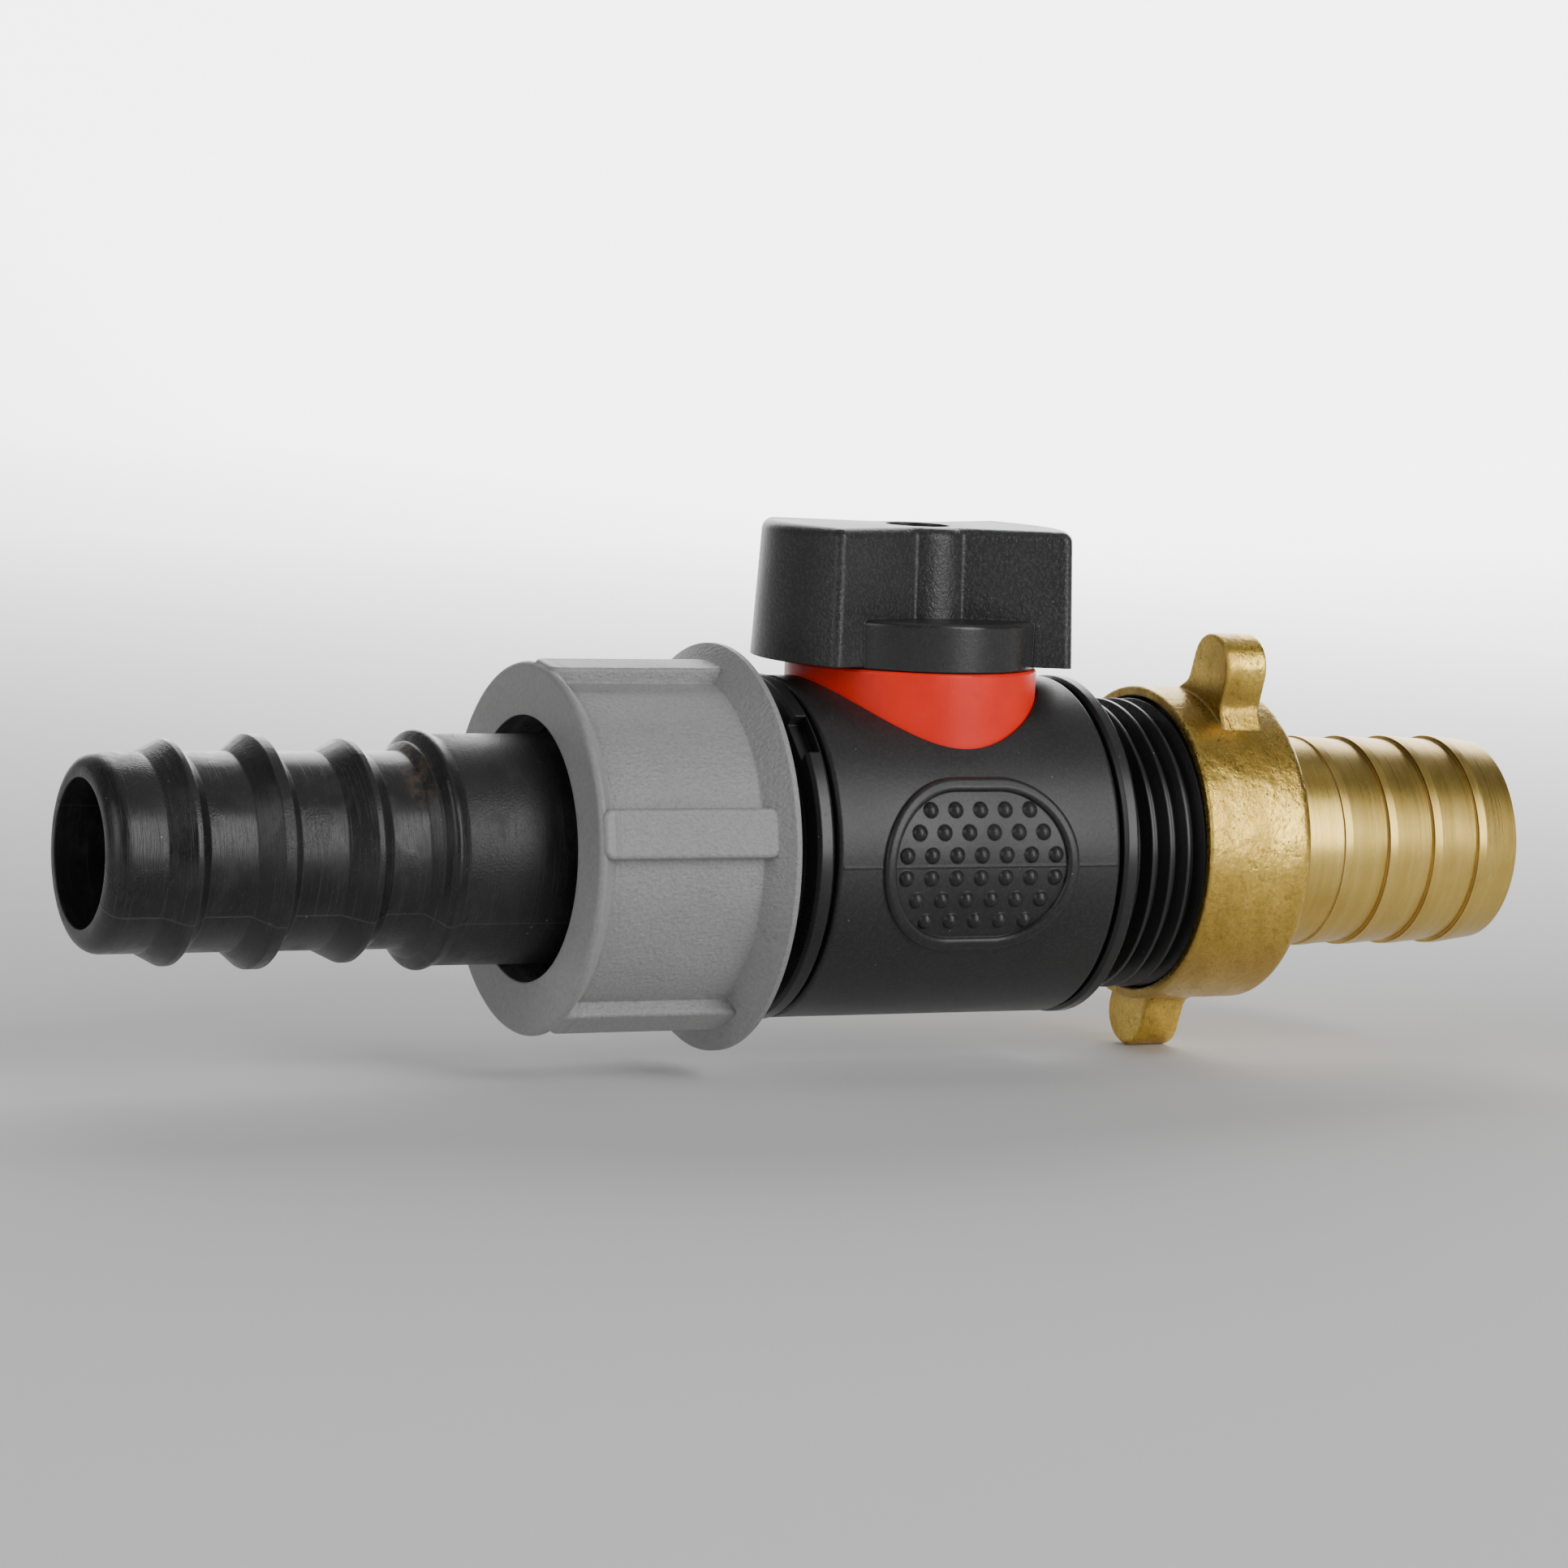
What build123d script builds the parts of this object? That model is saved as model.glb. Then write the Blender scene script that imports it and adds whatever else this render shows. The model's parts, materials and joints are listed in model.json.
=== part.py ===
from build123d import *
import math
import os

# Small in-line seacock: a quarter-turn ball valve with a union and a hose tail at each end.
# Frame, in millimetres: X is the flow axis (inlet at -X, outlet at +X), Z is the stem axis
# (knob at +Z), and the origin is the centre of the ball. The valve is shown open.

os.makedirs("parts", exist_ok=True)

# ---- Driving dimensions -------------------------------------------------------------------

# Flow path
ball_r = 10.5
ball_bore_r = 6.4
outlet_bore_r = 8.0
running_gap = 0.05
face_gap = 0.1
pick_margin = 0.01

# G 3/4 union thread
thread_pitch = 1.814
thread_major_r = 13.22
thread_depth = 1.16
thread_root_r = thread_major_r - thread_depth
thread_flank_deg = 27.5
thread_crest_half = 0.15
nut_bore_r = thread_major_r + 0.08
nut_groove_depth = 0.6

# Barrel
barrel_half = 14.04
barrel_r = 15.2
barrel_edge = 0.45
groove_r = 14.3
groove_width = 0.4
ring_r = 15.3
ring_width = 1.5
ring_edge = 0.3

# Stem column, heights above the flow axis
well_r = 11.32
well_edge = 0.15
core_r = 12.3
core_half = 12.0
boss_r = 6.5
boss_top = 19.0
stem_r = 4.0
stem_pocket_r = 5.5
stem_pocket_top = 12.3
collar_r = 11.26
collar_top = 16.45
skirt_bottom = 16.55
knob_bottom = 16.7
knob_top = 28.8

# Union faces along X
inlet_face_x = -28.2
outlet_face_x = 29.4
gasket_thickness = 2.0

# ---- Helpers ------------------------------------------------------------------------------


def turned(points):
    """Face in the XZ plane from a closed outline of (x, radius) points, ready to turn about X."""
    with BuildSketch(Plane.XZ) as section:
        with BuildLine():
            Polyline(*points, close=True)
        make_face()
    return section.sketch.faces()


def o_ring(x, ring_radius, cord_radius):
    """Torus about the X axis."""
    with BuildPart() as ring:
        with BuildSketch(Plane.XZ):
            with Locations((x, ring_radius)):
                Circle(cord_radius)
        revolve(axis=Axis.X)
    return ring


def threaded_stud(start_x, end_x):
    """Stud along X from start_x to its free end at end_x, with one right-hand ridge wound on it."""
    sunk = 0.2
    spare = 2 * thread_pitch
    outward = 1 if end_x > start_x else -1
    ridge_start = start_x + outward * thread_pitch / 2
    ridge_end = end_x + outward * thread_pitch
    ridge_x0 = min(ridge_start, ridge_end)
    with BuildLine() as winding:
        Helix(
            pitch=thread_pitch,
            height=abs(ridge_end - ridge_start),
            radius=thread_root_r,
            center=(ridge_x0, 0, 0),
            direction=(1, 0, 0),
        )
    start = winding.line @ 0
    radial = Vector(0, start.Y, start.Z).normalized()
    slope = math.tan(math.radians(thread_flank_deg))
    foot_half = thread_crest_half + (thread_depth + sunk) * slope
    with BuildPart() as ridge:
        with BuildSketch(Plane(origin=start, x_dir=radial, z_dir=winding.line % 0)):
            with BuildLine():
                Polyline(
                    (-sunk, -foot_half),
                    (thread_depth, -thread_crest_half),
                    (thread_depth, thread_crest_half),
                    (-sunk, foot_half),
                    close=True,
                )
            make_face()
        sweep(path=winding.line, is_frenet=True)

    # The stud is made over length, then its end face and lead-in cone are cut
    lead = 1.3
    margin = 0.15
    cone_x = end_x - outward * lead
    past_x = end_x + outward * spare * 2
    beyond_end = [
        (end_x, 0),
        (end_x, thread_root_r - margin),
        (cone_x, thread_major_r + margin),
        (cone_x, barrel_r),
        (past_x, barrel_r),
        (past_x, 0),
    ]
    with BuildPart() as stud:
        with BuildSketch(Plane.YZ.offset(start_x)):
            Circle(thread_root_r)
        extrude(amount=end_x - start_x + outward * spare)
        add(ridge.part)
        revolve(turned(beyond_end), axis=Axis.X, mode=Mode.SUBTRACT)
    return stud.part


def female_grooves(x_first, x_last):
    """(x, radius) points of the thread grooves in a nut's bore, from x_first up to x_last."""
    points = []
    count = int((x_last - x_first) / thread_pitch)
    for turn in range(count):
        x = x_first + turn * thread_pitch
        points.append((x, nut_bore_r))
        points.append((x + 0.5 * thread_pitch, nut_bore_r + nut_groove_depth))
        points.append((x + 0.95 * thread_pitch, nut_bore_r))
    return points


def barrel_point(x, angle, radius):
    """Point on a cylinder about X; the angle is in degrees from -Y towards +Z."""
    turn = math.radians(angle)
    return Vector(x, -radius * math.cos(turn), radius * math.sin(turn))


# ---- Grip pads moulded on the barrel's two sides ------------------------------------------

pad_height = 15.2
pad_centres = 4.2
pad_rim_width = 1.2
pad_rim_rise = 0.45
pad_rim_round = 0.4
pad_foot_r = barrel_r - 0.3
pad_sketch_y = 10.6
pad_rows = [5, 6, 7, 7, 6, 5]
dome_pitch_x = 2.46
dome_pitch_deg = 7.5
dome_r = 0.8
dome_rise = 0.45

with BuildPart() as pad_rim:
    with BuildSketch(Plane.XZ.offset(pad_sketch_y)):
        SlotCenterToCenter(pad_centres, pad_height)
        SlotCenterToCenter(pad_centres, pad_height - 2 * pad_rim_width, mode=Mode.SUBTRACT)
    extrude(amount=barrel_r)
    shell = [
        (-barrel_half, pad_foot_r),
        (-barrel_half, barrel_r + pad_rim_rise),
        (barrel_half, barrel_r + pad_rim_rise),
        (barrel_half, pad_foot_r),
    ]
    revolve(turned(shell), axis=Axis.X, mode=Mode.INTERSECT)
    crown_edges = pad_rim.edges().filter_by(
        lambda edge: math.hypot(edge.center().Y, edge.center().Z) > barrel_r + 0.8 * pad_rim_rise
    )
    fillet(crown_edges, pad_rim_round)
    mirror(about=Plane.XZ)

dome_places = []
for row, count in enumerate(pad_rows):
    dome_angle = ((len(pad_rows) - 1) / 2 - row) * dome_pitch_deg
    for step in range(count):
        dome_x = (step - (count - 1) / 2) * dome_pitch_x
        for side in (dome_angle, 180 - dome_angle):
            dome_places.append(barrel_point(dome_x, side, barrel_r + dome_rise - dome_r))

# ---- Valve body ---------------------------------------------------------------------------

right_ring_x0 = barrel_half + groove_width
right_ring_x1 = right_ring_x0 + ring_width
neck_r = 12.4
thread_right_x0 = 17.2
socket_r = 12.6
socket_end_x = -11.9
chamber_r = 11.0
chamber_end_x = 8.2
seat_pocket_r = 9.35
seat_back_x = 10.4
seat_groove_outer_r = 8.7
seat_groove_inner_r = 7.3
seat_groove_x = 11.6
throat_end_x = 16.0
outlet_start_x = 20.0
parting_width = 0.2
parting_rise = 0.06

outlet_stud = threaded_stud(thread_right_x0, outlet_face_x)

with BuildPart() as valve_body:
    outline = [
        (-barrel_half, 0),
        (-barrel_half, barrel_r),
        (barrel_half, barrel_r),
        (barrel_half, groove_r),
        (right_ring_x0, groove_r),
        (right_ring_x0, ring_r),
        (right_ring_x1, ring_r),
        (right_ring_x1, neck_r),
        (thread_right_x0, neck_r),
        (thread_right_x0, 0),
    ]
    revolve(turned(outline), axis=Axis.X)
    round_edges = valve_body.edges().filter_by(GeomType.CIRCLE)
    fillet(round_edges.filter_by(lambda edge: abs(edge.radius - barrel_r) < pick_margin), barrel_edge)
    round_edges = valve_body.edges().filter_by(GeomType.CIRCLE)
    chamfer(round_edges.filter_by(lambda edge: abs(edge.radius - ring_r) < pick_margin), ring_edge)

    # Round well that holds the collar
    with BuildSketch(Plane.XY):
        Circle(well_r)
    extrude(amount=2 * barrel_r, mode=Mode.SUBTRACT)
    well_edges = valve_body.edges(Select.LAST).filter_by(GeomType.LINE, reverse=True)
    fillet(well_edges.filter_by(lambda edge: edge.center().Z > barrel_r / 2), well_edge)
    with BuildSketch(Plane.YZ.offset(-core_half)):
        Circle(core_r)
    extrude(amount=2 * core_half)
    with BuildSketch(Plane.XY):
        Circle(boss_r)
    extrude(amount=boss_top)

    # Grip pads, parting ridge and outlet thread
    add(pad_rim.part)
    with Locations(*dome_places):
        Sphere(dome_r, rotation=(90, 0, 0))
    for side_y in (-barrel_r, barrel_r):
        with Locations((0, side_y, 0)):
            Box(2 * (barrel_half - barrel_edge), 2 * parting_rise, parting_width)
    add(outlet_stud)

    # Water way, seat pocket and stem bore
    water_way = [
        (-barrel_half, 0),
        (-barrel_half, socket_r),
        (socket_end_x, socket_r),
        (socket_end_x, chamber_r),
        (chamber_end_x, chamber_r),
        (chamber_end_x, seat_pocket_r),
        (seat_back_x, seat_pocket_r),
        (seat_back_x, seat_groove_outer_r),
        (seat_groove_x, seat_groove_outer_r),
        (seat_groove_x, seat_groove_inner_r),
        (seat_back_x, seat_groove_inner_r),
        (seat_back_x, ball_bore_r),
        (throat_end_x, ball_bore_r),
        (outlet_start_x, outlet_bore_r),
        (outlet_face_x, outlet_bore_r),
        (outlet_face_x, 0),
    ]
    revolve(turned(water_way), axis=Axis.X, mode=Mode.SUBTRACT)
    with BuildSketch(Plane.XY):
        Circle(stem_pocket_r)
    extrude(amount=stem_pocket_top, mode=Mode.SUBTRACT)
    with BuildSketch(Plane.XY):
        Circle(stem_r + running_gap)
    extrude(amount=boss_top, mode=Mode.SUBTRACT)

# ---- End connector, screwed into the inlet side of the body -------------------------------

connector_ring_r = 15.35
connector_neck_r = 12.9
connector_ring_width = 1.65
connector_ring_x1 = -(barrel_half + groove_width)
connector_ring_x0 = connector_ring_x1 - connector_ring_width
thread_left_x1 = -19.4
spigot_r = chamber_r - running_gap
connector_seal_x = -9.9
connector_seal_groove_r = 10.0
connector_seal_width = 1.0
cord_play = 0.02
notch_angle = 47.0
notch_width = 4.1
notch_depth = 1.3
notch_length = 1.3
notch_count = 2

inlet_stud = threaded_stud(thread_left_x1, inlet_face_x)

with BuildPart() as end_connector:
    outline = [
        (thread_left_x1, 0),
        (thread_left_x1, connector_neck_r),
        (connector_ring_x0, connector_neck_r),
        (connector_ring_x0, connector_ring_r),
        (connector_ring_x1, connector_ring_r),
        (connector_ring_x1, groove_r),
        (-barrel_half, groove_r),
        (-barrel_half, socket_r - running_gap),
        (socket_end_x, socket_r - running_gap),
        (socket_end_x, spigot_r),
        (connector_seal_x - connector_seal_width, spigot_r),
        (connector_seal_x - connector_seal_width, connector_seal_groove_r),
        (connector_seal_x, connector_seal_groove_r),
        (connector_seal_x, spigot_r),
        (-chamber_end_x, spigot_r),
        (-chamber_end_x, seat_pocket_r),
        (-seat_back_x, seat_pocket_r),
        (-seat_back_x, seat_groove_outer_r),
        (-seat_groove_x, seat_groove_outer_r),
        (-seat_groove_x, seat_groove_inner_r),
        (-seat_back_x, seat_groove_inner_r),
        (-seat_back_x, 0),
    ]
    revolve(turned(outline), axis=Axis.X)
    round_edges = end_connector.edges().filter_by(GeomType.CIRCLE)
    ring_rims = round_edges.filter_by(lambda edge: abs(edge.radius - connector_ring_r) < pick_margin)
    chamfer(ring_rims, ring_edge)
    add(inlet_stud)
    with BuildSketch(Plane.YZ.offset(inlet_face_x)):
        Circle(ball_bore_r)
    extrude(amount=-inlet_face_x, mode=Mode.SUBTRACT)
    # Spanner notches in the outer ring
    with BuildSketch(Plane.YZ.offset(connector_ring_x0)):
        with PolarLocations(connector_ring_r, notch_count, start_angle=180 - notch_angle):
            Rectangle(2 * notch_depth, notch_width)
    extrude(amount=notch_length, mode=Mode.SUBTRACT)

connector_o_ring = o_ring(
    connector_seal_x - connector_seal_width / 2,
    connector_seal_groove_r + connector_seal_width / 2,
    connector_seal_width / 2 - cord_play,
)

# ---- Ball, seats and their O-rings --------------------------------------------------------

slot_width = 3.2
slot_length = 8.6
slot_floor = 8.3
seat_front_x = 6.6
seat_r = 9.3
seat_ball_gap = 0.12

with BuildPart() as ball:
    Sphere(ball_r)
    Cylinder(ball_bore_r, 3 * ball_r, rotation=(0, 90, 0), mode=Mode.SUBTRACT)
    with BuildSketch(Plane.XY.offset(slot_floor)):
        Rectangle(slot_width, slot_length)
    extrude(amount=ball_r, mode=Mode.SUBTRACT)

with BuildPart() as ball_seat_right:
    cup_r = ball_r + seat_ball_gap
    cup_mouth = (seat_front_x, math.sqrt(cup_r**2 - seat_front_x**2))
    cup_throat = (math.sqrt(cup_r**2 - ball_bore_r**2), ball_bore_r)
    with BuildSketch(Plane.XZ):
        with BuildLine():
            RadiusArc(cup_throat, cup_mouth, -cup_r)
            Polyline(
                cup_mouth,
                (seat_front_x, seat_r),
                (seat_back_x, seat_r),
                (seat_back_x, ball_bore_r),
                cup_throat,
            )
        make_face()
    revolve(axis=Axis.X)

with BuildPart() as ball_seat_left:
    add(ball_seat_right.part.mirror(Plane.YZ))

seat_ring_r = (seat_groove_outer_r + seat_groove_inner_r) / 2
seat_cord_r = (seat_groove_x - seat_back_x) / 2 - cord_play
seat_o_ring_right = o_ring((seat_back_x + seat_groove_x) / 2, seat_ring_r, seat_cord_r)
seat_o_ring_left = o_ring(-(seat_back_x + seat_groove_x) / 2, seat_ring_r, seat_cord_r)

# ---- Stem and its seals -------------------------------------------------------------------

tang_width = 3.0
tang_length = 8.2
tang_bottom = 8.5
flange_bottom = 10.75
flange_top = 11.65
flange_r = 5.3
stem_groove_r = 3.1
stem_groove_height = 1.0
stem_groove_floors = [13.5, 15.9]
stem_cord_play = 0.05
drive_side = 5.6
drive_corner = 0.4
drive_bottom = 19.2
drive_top = 24.0
screw_r = 1.5
screw_hole_r = 1.55
screw_hole_bottom = 17.7
washer_top = 12.2

with BuildPart() as stem:
    with BuildSketch(Plane.XY.offset(tang_bottom)):
        Rectangle(tang_width, tang_length)
    extrude(amount=flange_top - tang_bottom)
    with BuildSketch(Plane.XY.offset(flange_bottom)):
        Circle(flange_r)
    extrude(amount=flange_top - flange_bottom)
    with BuildSketch(Plane.XY.offset(flange_top)):
        Circle(stem_r)
    extrude(amount=drive_bottom - flange_top)
    with BuildSketch(Plane.XY.offset(drive_bottom)):
        RectangleRounded(drive_side, drive_side, drive_corner)
    extrude(amount=drive_top - drive_bottom)
    for groove_floor in stem_groove_floors:
        with BuildSketch(Plane.XY.offset(groove_floor)):
            Circle(flange_r)
            Circle(stem_groove_r, mode=Mode.SUBTRACT)
        extrude(amount=stem_groove_height, mode=Mode.SUBTRACT)
    with BuildSketch(Plane.XY.offset(screw_hole_bottom)):
        Circle(screw_hole_r)
    extrude(amount=drive_top - screw_hole_bottom, mode=Mode.SUBTRACT)


def stem_seal(groove_floor):
    """O-ring about the stem, filling one of its grooves."""
    cord_r = stem_groove_height / 2 - stem_cord_play
    with BuildPart() as seal:
        with BuildSketch(Plane.XZ):
            with Locations((stem_r - cord_r, groove_floor + stem_groove_height / 2)):
                Circle(cord_r)
        revolve(axis=Axis.Z)
    return seal


stem_o_ring_lower = stem_seal(stem_groove_floors[0])
stem_o_ring_upper = stem_seal(stem_groove_floors[1])

with BuildPart() as stem_thrust_washer:
    with BuildSketch(Plane.XY.offset(flange_top)):
        Circle(flange_r)
        Circle(stem_r + running_gap, mode=Mode.SUBTRACT)
    extrude(amount=washer_top - flange_top)

# ---- Red collar around the stem boss, with the groove for the knob's stop lug --------------

lug_mid_r = 8.8
lug_width = 1.2
lug_depth = 1.0
lug_half_deg = 5.0
lug_angle = 135.0
lug_margin_deg = 1.5
groove_margin = 0.3
collar_edge = 0.3
quarter_turn = 90.0

groove_start = lug_angle - quarter_turn - lug_half_deg - lug_margin_deg
groove_span = quarter_turn + 2 * (lug_half_deg + lug_margin_deg)
groove_arc = CenterArc((0, 0), lug_mid_r, groove_start, groove_span)
lug_arc = CenterArc((0, 0), lug_mid_r, lug_angle - lug_half_deg, 2 * lug_half_deg)

with BuildPart() as stem_collar:
    with BuildSketch(Plane.XY):
        Circle(collar_r)
        Circle(boss_r + running_gap, mode=Mode.SUBTRACT)
    extrude(amount=collar_top)
    fillet(stem_collar.faces().sort_by(Axis.Z)[-1].edges().sort_by(SortBy.LENGTH)[-1], collar_edge)
    with BuildSketch(Plane.YZ.offset(-2 * core_half)):
        Circle(core_r + running_gap)
    extrude(amount=4 * core_half, mode=Mode.SUBTRACT)
    with BuildSketch(Plane.XY.offset(collar_top)):
        SlotArc(groove_arc, lug_width + 2 * groove_margin)
    extrude(amount=-(lug_depth + groove_margin), mode=Mode.SUBTRACT)

# ---- Knob ---------------------------------------------------------------------------------

grip_end_r = 14.4
grip_reach = 15.5
grip_flare = 0.365
grip_corner = 0.8
waist_x = 2.4
waist_y = 5.0
grip_boss_r = 5.5
grip_draft_deg = 2.6
grip_top_round = 1.0
skirt_r = 11.05
skirt_top = 20.8
skirt_round = 0.4
boss_recess_r = 7.0
boss_recess_top = 19.2
drive_gap = 0.05
drive_socket_side = drive_side + 2 * drive_gap
drive_socket_top = 24.1
screw_well_r = 2.9
screw_seat = 25.1

with BuildPart() as knob_skirt:
    with BuildSketch(Plane.XY.offset(skirt_bottom)):
        Circle(skirt_r)
    extrude(amount=skirt_top - skirt_bottom)
    fillet(knob_skirt.faces().sort_by(Axis.Z)[-1].edges(), skirt_round)

grip_height = knob_top - knob_bottom

grip_end_y = waist_y + grip_flare * (grip_reach - waist_x)

# Two blades that widen from the waist to the round ends
with BuildPart() as grip_blades:
    with BuildSketch(Plane.XY.offset(knob_bottom)):
        Circle(grip_end_r)
        with BuildLine():
            Polyline(
                (-grip_reach, -grip_end_y),
                (-waist_x, -waist_y),
                (waist_x, -waist_y),
                (grip_reach, -grip_end_y),
                (grip_reach, grip_end_y),
                (waist_x, waist_y),
                (-waist_x, waist_y),
                (-grip_reach, grip_end_y),
                close=True,
            )
        make_face(mode=Mode.INTERSECT)
    extrude(amount=grip_height, taper=grip_draft_deg)
    upright_edges = grip_blades.edges().filter_by(lambda e: e.bounding_box().size.Z > grip_height / 2)
    fillet(upright_edges.filter_by(lambda e: abs(e.center().X) > grip_end_r / 2), grip_corner)
    fillet(grip_blades.faces().sort_by(Axis.Z)[-1].edges(), grip_top_round)

with BuildPart() as grip_boss:
    with BuildSketch(Plane.XY.offset(knob_bottom)):
        Circle(grip_boss_r)
    extrude(amount=grip_height, taper=grip_draft_deg)
    fillet(grip_boss.faces().sort_by(Axis.Z)[-1].edges(), grip_top_round)

with BuildPart() as knob:
    add(grip_blades.part)
    add(grip_boss.part)
    add(knob_skirt.part)
    with BuildSketch(Plane.XY.offset(skirt_bottom)):
        Circle(boss_recess_r)
    extrude(amount=boss_recess_top - skirt_bottom, mode=Mode.SUBTRACT)
    with BuildSketch(Plane.XY.offset(boss_recess_top)):
        RectangleRounded(drive_socket_side, drive_socket_side, drive_corner)
    extrude(amount=drive_socket_top - boss_recess_top, mode=Mode.SUBTRACT)
    with BuildSketch(Plane.XY.offset(drive_socket_top)):
        Circle(screw_hole_r)
    extrude(amount=screw_seat - drive_socket_top, mode=Mode.SUBTRACT)
    with BuildSketch(Plane.XY.offset(screw_seat)):
        Circle(screw_well_r)
    extrude(amount=knob_top - screw_seat, mode=Mode.SUBTRACT)
    # Stop lug under the skirt
    with BuildSketch(Plane.XY.offset(skirt_bottom)):
        SlotArc(lug_arc, lug_width)
    extrude(amount=-lug_depth)

# ---- Screw and washer in the knob's well --------------------------------------------------

screw_washer_r = 2.75
screw_washer_thickness = 0.5
screw_head_r = 2.5
screw_head_height = 1.9
screw_head_round = 0.5
screw_tip_edge = 0.3
screw_tip = 18.1
hex_socket_r = 1.2
hex_socket_depth = 1.2

with BuildPart() as screw_washer:
    with BuildSketch(Plane.XY.offset(screw_seat)):
        Circle(screw_washer_r)
        Circle(screw_hole_r, mode=Mode.SUBTRACT)
    extrude(amount=screw_washer_thickness)

with BuildPart() as knob_screw:
    head_bottom = screw_seat + screw_washer_thickness
    with BuildSketch(Plane.XY.offset(screw_tip)):
        Circle(screw_r)
    extrude(amount=head_bottom - screw_tip)
    with BuildSketch(Plane.XY.offset(head_bottom)):
        Circle(screw_head_r)
    extrude(amount=screw_head_height)
    fillet(knob_screw.faces().sort_by(Axis.Z)[-1].edges(), screw_head_round)
    with BuildSketch(Plane.XY.offset(head_bottom + screw_head_height)):
        RegularPolygon(hex_socket_r, 6)
    extrude(amount=-hex_socket_depth, mode=Mode.SUBTRACT)
    chamfer(knob_screw.faces().sort_by(Axis.Z)[0].edges(), screw_tip_edge)

# ---- Inlet union: gasket, ribbed nut and hose barb -----------------------------------------

barb_flange_x1 = inlet_face_x - gasket_thickness
barb_flange_thickness = 2.5
barb_flange_x0 = barb_flange_x1 - barb_flange_thickness
barb_flange_r = 12.9
inlet_gasket_inner_r = 6.8
inlet_gasket_outer_r = 11.7

with BuildPart() as union_gasket_left:
    with BuildSketch(Plane.YZ.offset(barb_flange_x1)):
        Circle(inlet_gasket_outer_r)
        Circle(inlet_gasket_inner_r, mode=Mode.SUBTRACT)
    extrude(amount=gasket_thickness)

nut_front_x = -37.2
nut_lip_x = barb_flange_x0 - face_gap
nut_lip_r = 11.64
nut_band_r = 16.3
nut_band_x = -36.6
nut_wall_r = 15.3
nut_wall_x = -35.6
nut_flange_foot_x = -21.3
nut_flange_x0 = -19.55
nut_flange_x1 = -19.05
nut_flange_r = 18.0
nut_edge = 0.5
rib_count = 5
rib_first_angle = 11.5
rib_width = 4.3
rib_top_r = 16.5
rib_foot_r = 14.9
rib_x0 = -36.9
rib_x1 = -20.3
rib_corner = 0.9
rib_round = 0.35
nut_groove_lead = 0.6
nut_groove_tail = 0.2

with BuildPart() as nut_ribs:
    for rib in range(rib_count):
        foot = barrel_point((rib_x0 + rib_x1) / 2, rib_first_angle + rib * 360 / rib_count, rib_foot_r)
        outward = Vector(0, foot.Y, foot.Z).normalized()
        with BuildSketch(Plane(origin=foot, x_dir=(1, 0, 0), z_dir=outward)):
            RectangleRounded(rib_x1 - rib_x0, rib_width, rib_corner)
        extrude(amount=rib_top_r - rib_foot_r)
    rib_crowns = nut_ribs.faces().filter_by(
        lambda face: math.hypot(face.center().Y, face.center().Z) > rib_top_r - rib_round
    )
    fillet(rib_crowns.edges(), rib_round)

with BuildPart() as union_nut:
    outline = [
        (nut_front_x, nut_lip_r),
        (nut_front_x, nut_band_r),
        (nut_band_x, nut_band_r),
        (nut_wall_x, nut_wall_r),
        (nut_flange_foot_x, nut_wall_r),
        (nut_flange_x0, nut_flange_r),
        (nut_flange_x1, nut_flange_r),
        (nut_flange_x1, nut_bore_r),
    ]
    bore = female_grooves(barb_flange_x1 + nut_groove_lead, nut_flange_x1 - nut_groove_tail)
    bore.reverse()
    outline = outline + bore + [(nut_lip_x, nut_bore_r), (nut_lip_x, nut_lip_r)]
    revolve(turned(outline), axis=Axis.X)
    front_edges = union_nut.edges().filter_by(GeomType.CIRCLE)
    front_edges = front_edges.filter_by(lambda edge: edge.arc_center.X < nut_front_x + pick_margin)
    fillet(front_edges.sort_by(SortBy.RADIUS)[-1], nut_edge)
    add(nut_ribs.part)

barb_tip_x = -77.7
barb_tip_round = 1.6
barb_tube_r = 8.5
barb_sleeve_r = 10.0
barb_sleeve_x = -46.3
barb_collar_r = 10.5
barb_collar_x = -47.6
barb_collar_foot_x = -49.3
barb_step_x = -48.5
barb_step_r = 9.3
barb_step_land = 0.15
collar_peak_round = 0.5
# Each ridge: left foot, crest start, crest end, right foot, crest radius
barb_ridges = [
    (-72.8, -70.7, -70.2, -69.1, 9.6),
    (-64.9, -63.1, -62.1, -61.0, 10.0),
    (-56.8, -54.5, -54.0, -52.7, 9.6),
]

with BuildPart() as hose_barb:
    with BuildSketch(Plane.XZ) as barb_section:
        outline = [(barb_tip_x, ball_bore_r), (barb_tip_x, barb_tube_r)]
        for left_foot, crest_start, crest_end, right_foot, crest_r in barb_ridges:
            outline.append((left_foot, barb_tube_r))
            outline.append((crest_start, crest_r))
            outline.append((crest_end, crest_r))
            outline.append((right_foot, barb_tube_r))
        outline += [
            (barb_collar_foot_x, barb_tube_r),
            (barb_step_x, barb_step_r),
            (barb_step_x + barb_step_land, barb_step_r),
            (barb_collar_x, barb_collar_r),
            (barb_sleeve_x, barb_sleeve_r),
            (barb_flange_x0, barb_sleeve_r),
            (barb_flange_x0, barb_flange_r),
            (barb_flange_x1, barb_flange_r),
            (barb_flange_x1, ball_bore_r),
        ]
        with BuildLine():
            Polyline(*outline, close=True)
        make_face()
        tip_corner = barb_section.vertices().sort_by(Axis.X)[0:2].sort_by(Axis.Y)[-1]
        fillet(tip_corner, barb_tip_round)
        collar_peak = barb_section.vertices().filter_by(lambda v: abs(v.X - barb_collar_x) < pick_margin)
        fillet(collar_peak, collar_peak_round)
    revolve(axis=Axis.X)

# ---- Outlet union: gasket, wing nut and brass hose tail ------------------------------------

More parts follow.
